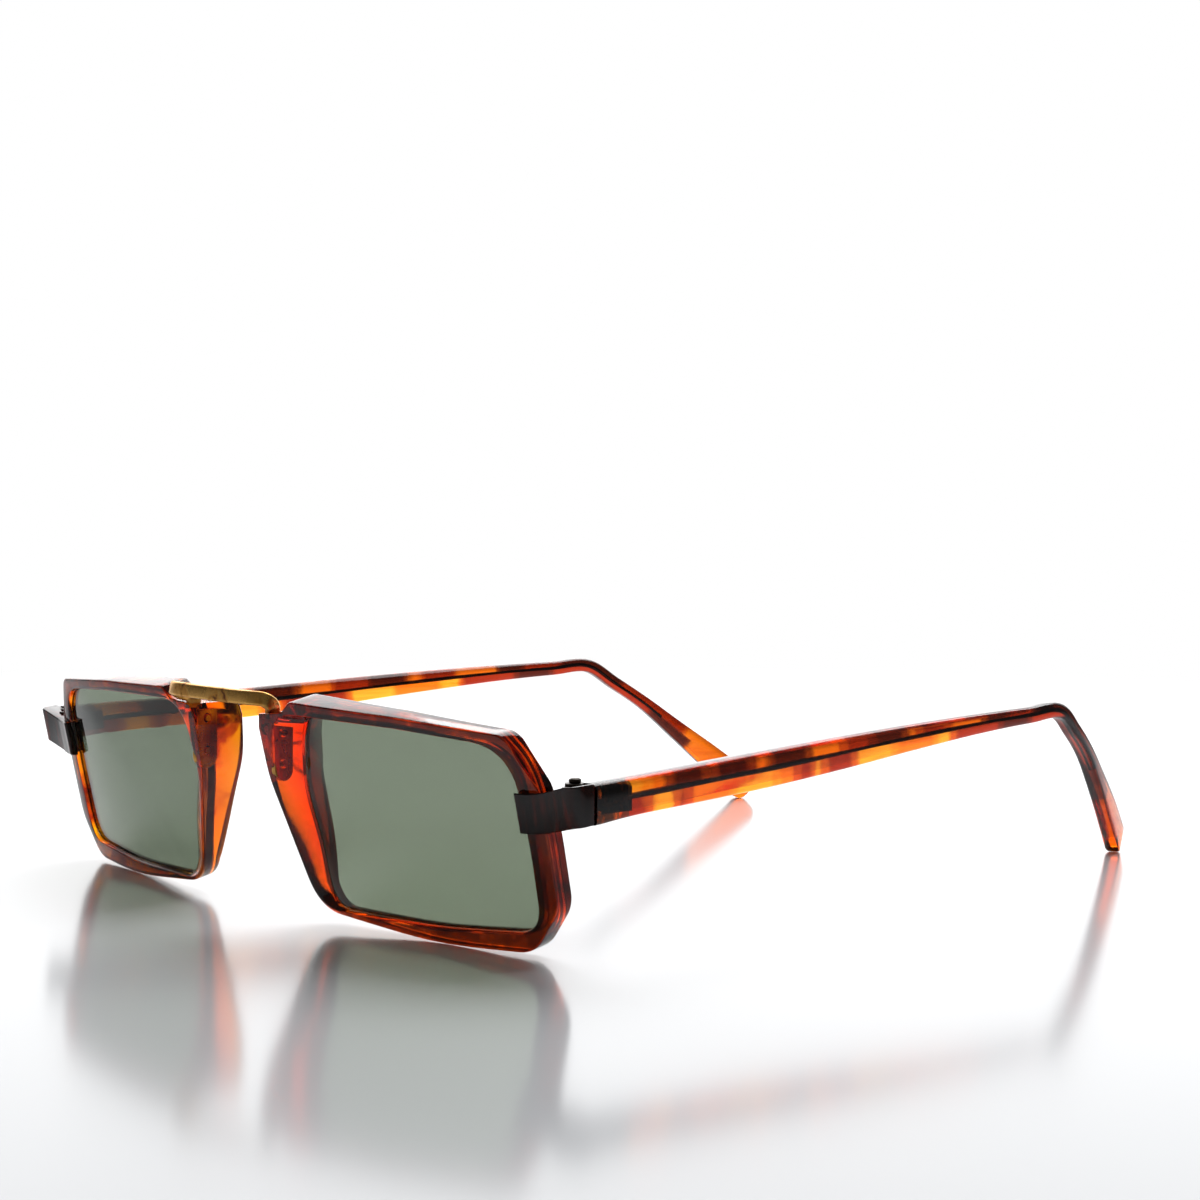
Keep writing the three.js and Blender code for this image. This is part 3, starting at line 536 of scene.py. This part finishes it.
def dull_steel():
    m, tree, bsdf = material("dull_steel")
    bsdf.inputs["Metallic"].default_value = 1.0
    coords = node(tree, "ShaderNodeTexCoord").outputs["Object"]
    grain = noise(tree, coords, 1800.0, 4.0, 0.6)
    stain = noise(tree, coords, 300.0, 3.0, 0.5)
    colour = ramp(tree, stain, [(0.4, (0.07, 0.055, 0.045)), (0.7, (0.025, 0.018, 0.015))])
    tree.links.new(colour, bsdf.inputs["Base Color"])
    tree.links.new(ramp(tree, grain, [(0.3, 0.3), (0.7, 0.5)]), bsdf.inputs["Roughness"])
    bump(tree, bsdf, grain, 0.1, 0.00003)
    return m


RIM_MAT, TEMPLE_MAT, DARK_MAT = tortoise_rim(), tortoise_temple(), dark_tortoise()
LENS_MAT, GOLD_MAT, STEEL_MAT = tinted_lens(), aged_gold(), dull_steel()


def dress(piece, mat, slot, body, *nodes):
    """Gives a piece its material, and says what it rides on and stands for; the slot is not used."""
    piece.data.materials.clear()
    piece.data.materials.append(mat)
    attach(piece, body)
    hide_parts(*nodes)
    return piece


# ---- Rims and lenses -------------------------------------------------------------------------
LENS_SHARES = (0.06, 0.2, 0.4, 0.6, 0.8, 0.93, 1.0)


def lens_rings():
    """Rings from the middle of the front face out to the edge, and back in over the rear face."""
    rings = []
    for thickness, shares in ((0.0, LENS_SHARES), (LENS_THICKNESS, LENS_SHARES[::-1])):
        for share in shares:
            ring = []
            for c in CUTS:
                edge = c["seat"] - c["inward"] * LENS_BITE
                point = CENTRE + (edge - CENTRE) * share
                domed = lens_depth(*point) - LENS_DOME * (1 - share ** 2)
                depth = c["seat_depth"] if share == 1.0 else domed
                ring.append(place(*point, depth + LENS_FIT + thickness))
            rings.append(ring)
    return rings


for side, sign in SIDES.items():
    rim = loft(f"rim_shell_{side}", [rim_ring(c) for c in CUTS], sign, loop=True)
    dress(rim, RIM_MAT, "tortoise", "front", f"rim_{side}")
    lens = loft(f"lens_pane_{side}", lens_rings(), sign)
    dress(lens, LENS_MAT, "lens", "front", f"lens_{side}")


# ---- Bridge ----------------------------------------------------------------------------------
NOTCH = place(NASAL, RIM_HEIGHT - NOTCH_DROP, 0)[2]
LEG_Y = front_y(LEG_X, NOTCH) + LEG_SETBACK
STRIP_Z = NOTCH + STRIP_LIFT
STRIP_Y = front_y(0, NOTCH) - STRIP_STAND_OFF
ANCHOR_TOP = NOTCH - LEG_BITE
RIGHT_TURN, LEFT_TURN = LEG_X + 1.9, LEG_X + 1.1


def bridge_half(turn):
    """Stops of half the strip as x, y, z and lean, where turn is the x that it bends back at."""
    return [
        (turn * 0.5, STRIP_Y + 0.1, STRIP_Z, 0.0), (turn * 0.82, STRIP_Y + 0.4, STRIP_Z, 0.05),
        (turn - 0.15, STRIP_Y + 1.2, STRIP_Z - 0.15, 0.3),
        (turn - 0.05, (STRIP_Y + LEG_Y) / 2 + 0.6, STRIP_Z - 0.75, 0.75),
        (LEG_X + 0.1, LEG_Y - 0.05, STRIP_Z - 1.4, 1.45), (LEG_X, LEG_Y, NOTCH, math.pi / 2),
        (LEG_X, LEG_Y, ANCHOR_TOP, math.pi / 2),
    ]


def bridge_rings():
    right, left = bridge_half(RIGHT_TURN), bridge_half(LEFT_TURN)
    stops = [(-x, y, z, lean) for x, y, z, lean in right[::-1]] + [(0.0, STRIP_Y, STRIP_Z, 0.0)] + left
    curve = smooth_curve(stops, 12)
    tangents = np.gradient(curve[:, :3], axis=0)
    rings = []
    for (x, y, z, lean), tangent in zip(curve, tangents):
        along = unit(tangent)
        tall = np.array([0.0, math.sin(lean), math.cos(lean)])
        tall = unit(tall - along * (tall @ along))
        thick = np.cross(along, tall)
        a, b = STRIP_HEIGHT / 2, STRIP_THICKNESS / 2
        shape = ((a, b), (a, -b), (-a, -b), (-a, b))
        corners = [np.array([x, y, z]) + tall * h + thick * w for h, w in shape]
        rings.append(rounded(corners, [0.4] * 4, [5] * 4))
    return rings


bridge = loft("bridge_strip", bridge_rings())
dress(bridge, GOLD_MAT, "gold", "front", "bridge")


# ---- Hinge pockets ---------------------------------------------------------------------------
END_FRONT_Z = place(TEMPORAL, END_LEVEL, 0)[2]
JOINT_Z = END_FRONT_Z + JOINT_RISE


def barrel_pocket(sign):
    """The space round the hinge barrels, taken out of an end piece or a temple."""
    reach = END_HEIGHT / 2 + 3
    rings = [circle(HINGE_X, HINGE_Y, z, POCKET_RADIUS, 48) for z in (JOINT_Z - reach, JOINT_Z + reach)]
    return loft("barrel_pocket", rings, sign)


# ---- End pieces ------------------------------------------------------------------------------
def end_plan(grow):
    """The outline from above, from the lip on the rim's front round the corner to the back."""
    inner, outer, inside = END_INNER - grow, HALF_WIDTH + grow, TEMPORAL - 0.15 - grow
    turn = END_CORNER + grow

    def face(x):
        return front_y(min(x, END_FLAT_FROM), END_FRONT_Z) - END_PROUD - grow

    def bite(x):
        return front_y(x, END_FRONT_Z) + END_BITE + grow

    plan = [(inner, bite(inner))]
    for t in np.linspace(0, math.pi / 2, 5):
        plan.append((inner + END_LIP * (1 - math.cos(t)), face(inner) + END_LIP * (1 - math.sin(t))))
    for x in np.linspace(inner + 0.8, END_FLAT_FROM, 4):
        plan.append((x, face(x)))
    for t in np.linspace(0, math.pi / 2, 10):
        plan.append((outer - turn + turn * math.sin(t), face(outer) + turn * (1 - math.cos(t))))
    back = END_BACK + grow
    plan += [(outer, back - 0.2), (outer - 0.2, back), (inside, back), (inside, bite(inside))]
    return plan


def end_ring(level, grow):
    """level runs from -1 at the underside to 1 at the top."""
    corner = HALF_WIDTH - END_CORNER
    corner_y = front_y(END_FLAT_FROM, END_FRONT_Z) - END_PROUD
    front_z = END_FRONT_Z - 0.15 + level * END_HEIGHT / 2
    back_z = JOINT_Z - 0.2 + level * END_HEIGHT / 2
    reach, run = corner - END_INNER, END_BACK - corner_y
    lean = level * END_HEIGHT / 2 * math.tan(TILT)
    ring = []
    for (x, y), (bare_x, bare_y) in zip(end_plan(grow), end_plan(0.0)):
        across = min(max((bare_x - END_INNER) / reach, 0), 1)
        rear = smooth(corner_y, END_BACK - 0.5, bare_y)
        back = min(max((bare_y - corner_y) / run, 0), 1) * across
        travel = (across * reach + back * run) / (reach + run)
        ring.append(np.array([x, y + lean * (1 - rear), mix(front_z, back_z, smooth(0.12, 1.0, travel))]))
    return ring


EDGE_RADIUS, EDGE_RISE = 0.16, 1 / 15


def end_rings():
    """Each ring is a level and how far the outline grows, less than nothing at the rounded edges."""
    quarter = np.linspace(0, math.pi / 2, 5)
    levels = [(-1 + EDGE_RISE * (1 - math.cos(t)), -EDGE_RADIUS * (1 - math.sin(t))) for t in quarter]
    levels += [(-level, grow) for level, grow in levels[::-1]]
    return [end_ring(level, grow) for level, grow in levels]


for side, sign in SIDES.items():
    end = loft(f"end_block_{side}", end_rings(), sign)
    carve(end, barrel_pocket(sign))
    dress(end, DARK_MAT, "dark_tortoise", "front", f"end_piece_{side}")


# ---- Temples ---------------------------------------------------------------------------------
TEMPLE_HEIGHT, SLIM_HEIGHT, BEND_HEIGHT, PADDLE_HEIGHT = 5.2, 4.85, 2.35, 5.4
TEMPLE_THICK, BEND_THICK = 3.4, 2.5
TOE_IN, TIP_TOE_IN, RISE, TIP_TRIM = 9.95, 22.5, 3.4, 0.45
TOP_CHAMFER, LOW_CHAMFER = 0.75, 0.3


def temple_stops():
    """Stops of the middle line as x, y, z, height and thickness, to the bend and on to the tip."""
    straight, drop = TEMPLE_BEND - TEMPLE_START, TEMPLE_REACH - TEMPLE_BEND
    stops = []
    for share in (0, 0.06, 0.18, 0.32, 0.48, 0.64, 0.8, 0.92, 1):
        height = mix(SLIM_HEIGHT, BEND_HEIGHT, smooth(0.3, 1, share))
        height += (TEMPLE_HEIGHT - SLIM_HEIGHT) * (1 - smooth(0, 0.07, share))
        thickness = mix(TEMPLE_THICK, BEND_THICK, share)
        top = TEMPLE_HEIGHT / 2 + RISE * math.sin(math.pi / 2 * share) ** 1.15
        stops.append((HALF_WIDTH - TOE_IN * share - thickness / 2, TEMPLE_START + straight * share,
                      JOINT_Z - 0.3 + top - height / 2, height, thickness))
    bend_z = stops[-1][2]
    for share in (0.17, 0.34, 0.55, 0.76, 0.9):
        fall = 0.12 if share < 0.3 else share - 0.08
        x = HALF_WIDTH - TOE_IN - (TIP_TOE_IN - TOE_IN) * share ** 1.25 - BEND_THICK / 2
        height = mix(BEND_HEIGHT, PADDLE_HEIGHT, smooth(0.25, 0.95, share))
        stops.append((x, TEMPLE_BEND + drop * share, bend_z * (1 - fall / 0.84), height, BEND_THICK))
    return stops


def temple_stations():
    """The cross-sections along the temple, with a rounded tip added."""
    curve = smooth_curve(temple_stops(), 8)
    tangents = np.gradient(curve[:, :3], axis=0)
    stations = []
    for row, tangent in zip(curve, tangents):
        along = unit(tangent)
        out = unit(np.cross(along, [0, 0, 1.0]))
        stations.append(dict(point=row[:3].copy(), along=along, out=out, tall=np.cross(out, along),
                             height=row[3], thickness=row[4]))
    tip = stations[-1]
    reach = tip["height"] / 2 - TIP_TRIM
    for turn in np.linspace(0.12, 1.42, 11):
        stations.append(dict(tip, point=tip["point"] + tip["along"] * reach * math.sin(turn),
                             height=tip["height"] * math.cos(turn) ** 0.6,
                             thickness=tip["thickness"] * (0.35 + 0.65 * math.cos(turn))))
    return stations


def temple_ring(s):
    a, b = s["height"] / 2, s["thickness"] / 2
    top, low = min(TOP_CHAMFER, a * 0.4, b * 0.5), min(LOW_CHAMFER, a * 0.4, b * 0.45)
    shape = [
        (a, b - top), (a, top - b), (a - top, -b), (low - a, -b),
        (-a, low - b), (-a, b - low), (low - a, b), (a - top, b),
    ]
    corners = [s["point"] + s["tall"] * h + s["out"] * w for h, w in shape]
    return rounded(corners, [0.3] * 8, [3] * 8)


def settle(stations):
    """Lowers the bent end until it touches the surface that the rims stand on."""
    for _ in range(4):
        miss = min(p[2] for s in stations for p in temple_ring(s)) - RIM_FLOOR
        for s in stations:
            s["point"][2] -= miss * smooth(TEMPLE_BEND - 2, TEMPLE_REACH - 4, s["point"][1])
    return stations


STATIONS = settle(temple_stations())
STEPS = [np.linalg.norm(b["point"] - a["point"]) for a, b in zip(STATIONS, STATIONS[1:])]
TRAVEL = np.concatenate([[0], np.cumsum(STEPS)])


def temple_uvs():
    """U counts lengths of UV_LENGTH from the hinge, and V runs from -1 underneath to 1 on top."""
    rows = []
    for s, travel in zip(STATIONS, TRAVEL):
        ups = [float((p - s["point"]) @ s["tall"]) / (s["height"] / 2) for p in temple_ring(s)]
        rows.append([(travel / UV_LENGTH, up) for up in ups])
    return rows


for side, sign in SIDES.items():
    rings = [temple_ring(s) for s in STATIONS]
    for p in rings[0]:
        p[1] = TEMPLE_START
    temple = loft(f"temple_arm_{side}", rings, sign, uvs=temple_uvs())
    carve(temple, barrel_pocket(sign))
    dress(temple, TEMPLE_MAT, "tortoise", f"temple_{side}", f"temple_{side}")


def wire_rings():
    """The core wire runs along the temple's middle from the hinge leaf to short of the tip."""
    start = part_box("temple_hinge_leaf_left")[1][1] * 1000 - SHIFT_Y + 0.15
    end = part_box("core_wire_left")[1][1] * 1000 - SHIFT_Y
    rings = []
    for s, travel in zip(STATIONS, TRAVEL):
        if start - 0.9 <= s["point"][1] <= end:
            ripple = 0.05 * math.sin(travel / 5) * smooth(8, 12, travel)
            radius = mix(0.40, 0.28, smooth(14, 60, travel)) + ripple
            around = circle(0, 0, 0, radius, 20)
            rings.append([s["point"] + s["tall"] * x + s["out"] * y for x, y, _ in around])
    return rings


for side, sign in SIDES.items():
    wire = loft(f"core_line_{side}", wire_rings(), sign)
    dress(wire, STEEL_MAT, "steel", f"temple_{side}", f"core_wire_{side}")


# ---- Hinge screws ----------------------------------------------------------------------------
SLOT_ANGLE = 0.5


def screw(name, sign):
    low, high = (corner[2] * 1000 - SHIFT_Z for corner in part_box("hinge_screw_left"))
    profile = [(0.45, low), (0.5, low + 0.1), (0.5, high - 0.62), (0.72, high - 0.6), (0.8, high - 0.5),
               (0.8, high - 0.25), (0.7, high - 0.1), (0.45, high - 0.02), (0.15, high)]
    piece = loft(name, [circle(HINGE_X, HINGE_Y, z, radius, 40) for radius, z in profile], sign)
    along = np.array([math.cos(SLOT_ANGLE), math.sin(SLOT_ANGLE), 0])
    across = np.array([-along[1], along[0], 0])
    corners = [along * a + across * b for a, b in ((-1, -0.14), (1, -0.14), (1, 0.14), (-1, 0.14))]
    centres = [np.array([HINGE_X, HINGE_Y, z]) for z in (high - 0.3, high + 0.5)]
    return carve(piece, loft("slot", [[centre + corner for corner in corners] for centre in centres], sign))


for side, sign in SIDES.items():
    dress(screw(f"slotted_screw_{side}", sign), STEEL_MAT, "gold", "front", f"hinge_screw_{side}")


# ---- CAD nodes that stay, with their own finish -----------------------------------------------
SOFT_EDGE = 0.00008


def refine(name, mat):
    piece = frame["nodes"][name]
    piece.data.materials.clear()
    piece.data.materials.append(mat)
    for polygon in piece.data.polygons:
        polygon.use_smooth = False
    bevel = piece.modifiers.new("soft edges", "BEVEL")
    bevel.width, bevel.segments = SOFT_EDGE, 2
    bevel.limit_method, bevel.angle_limit = "ANGLE", math.radians(30)


for side in SIDES:
    for name in ("bridge_anchor", "anchor_rivet_upper", "anchor_rivet_lower"):
        refine(f"{name}_{side}", GOLD_MAT)
    for name in ("front_hinge_leaf", "temple_hinge_leaf"):
        refine(f"{name}_{side}", STEEL_MAT)


# ---- Floor, light and camera ------------------------------------------------------------------
# The white sweep behind the pair is over-bright in one direction, so that the plastic glows
BEHIND = (-0.74, 0.65, 0.15)
BACKLIGHT, FILL = 2.0, 0.08
FLOOR_FADE_START, FLOOR_FADE_END = 0.22, 0.4
FLOOR_DROP = 0.00002
CAMERA_AZIMUTH, CAMERA_ELEVATION, CAMERA_ROLL = (math.radians(a) for a in (48.563, 3.02, 0.37))
CAMERA_LENS, CAMERA_SENSOR = 77.51, 36.0
CAMERA_PLACE = (304.24, -204.74, 63.35)


def sweep_strength(tree, direction):
    """Bright towards BEHIND and dim elsewhere as a light, and plain white where the camera sees it."""
    facing = vector_node(tree, "DOT_PRODUCT", direction, BEHIND)
    level = map_range(tree, facing, 0.55, 0.9, FILL, BACKLIGHT, "SMOOTHSTEP")
    seen = node(tree, "ShaderNodeLightPath").outputs["Is Camera Ray"]
    return node(tree, "ShaderNodeMix", {0: seen, 2: level, 3: 1.0}, data_type="FLOAT").outputs[0]


def floor_material():
    """A pale glossy floor that fades into the white sweep away from the pair."""
    m, tree, bsdf = material("floor")
    bsdf.inputs["Base Color"].default_value = (0.80, 0.82, 0.85, 1)
    bsdf.inputs["Roughness"].default_value = 0.14
    coords = node(tree, "ShaderNodeTexCoord").outputs["Object"]
    distance = vector_node(tree, "LENGTH", coords)
    fade = map_range(tree, distance, FLOOR_FADE_START, FLOOR_FADE_END, shape="SMOOTHSTEP")
    strength = sweep_strength(tree, vector_node(tree, "NORMALIZE", coords))
    glow = node(tree, "ShaderNodeEmission", {"Color": (1, 1, 1, 1), "Strength": strength}).outputs[0]
    mixed = node(tree, "ShaderNodeMixShader", {0: fade, 1: bsdf.outputs[0], 2: glow}).outputs[0]
    tree.links.new(mixed, tree.nodes["Material Output"].inputs["Surface"])
    return m


def floor():
    bm = bmesh.new()
    bmesh.ops.create_grid(bm, x_segments=8, y_segments=8, size=3.0)
    piece = finish_mesh("floor", bm)
    piece.data.materials.append(floor_material())
    piece.location.z = -FLOOR_DROP


def world():
    w = bpy.data.worlds.new("studio")
    bpy.context.scene.world = w
    w.use_nodes = True
    tree = w.node_tree
    back = tree.nodes["Background"]
    direction = node(tree, "ShaderNodeTexCoord").outputs["Generated"]
    tree.links.new(sweep_strength(tree, direction), back.inputs["Strength"])
    back.inputs["Color"].default_value = (1, 1, 1, 1)


def area_light(name, where, aim, size, power):
    data = bpy.data.lights.new(name, "AREA")
    data.shape, data.size, data.size_y, data.energy = "RECTANGLE", size, size * 0.7, power
    lamp = bpy.data.objects.new(name, data)
    lamp.location = where
    lamp.rotation_euler = (Vector(aim) - Vector(where)).to_track_quat("-Z", "Y").to_euler()
    bpy.context.scene.collection.objects.link(lamp)


def camera():
    az, el, roll = CAMERA_AZIMUTH, CAMERA_ELEVATION, CAMERA_ROLL
    back = Vector((math.sin(az) * math.cos(el), -math.cos(az) * math.cos(el), math.sin(el)))
    right = Vector((math.cos(az), math.sin(az), 0))
    up = back.cross(right)
    data = bpy.data.cameras.new("camera")
    data.sensor_width, data.lens = CAMERA_SENSOR, CAMERA_LENS
    data.clip_start, data.clip_end = 0.01, 20
    cam = bpy.data.objects.new("camera", data)
    across = right * math.cos(roll) + up * math.sin(roll)
    over = up * math.cos(roll) - right * math.sin(roll)
    turn = Matrix((across, over, back)).transposed().to_4x4()
    cam.matrix_world = Matrix.Translation(to_metres(CAMERA_PLACE)) @ turn
    bpy.context.scene.collection.objects.link(cam)
    bpy.context.scene.camera = cam


floor()
world()
area_light("overhead", (-0.3, 0.5, 0.8), (0, 0, 0.01), 0.9, 6.5)
camera()
bpy.context.scene.view_settings.view_transform = "Standard"
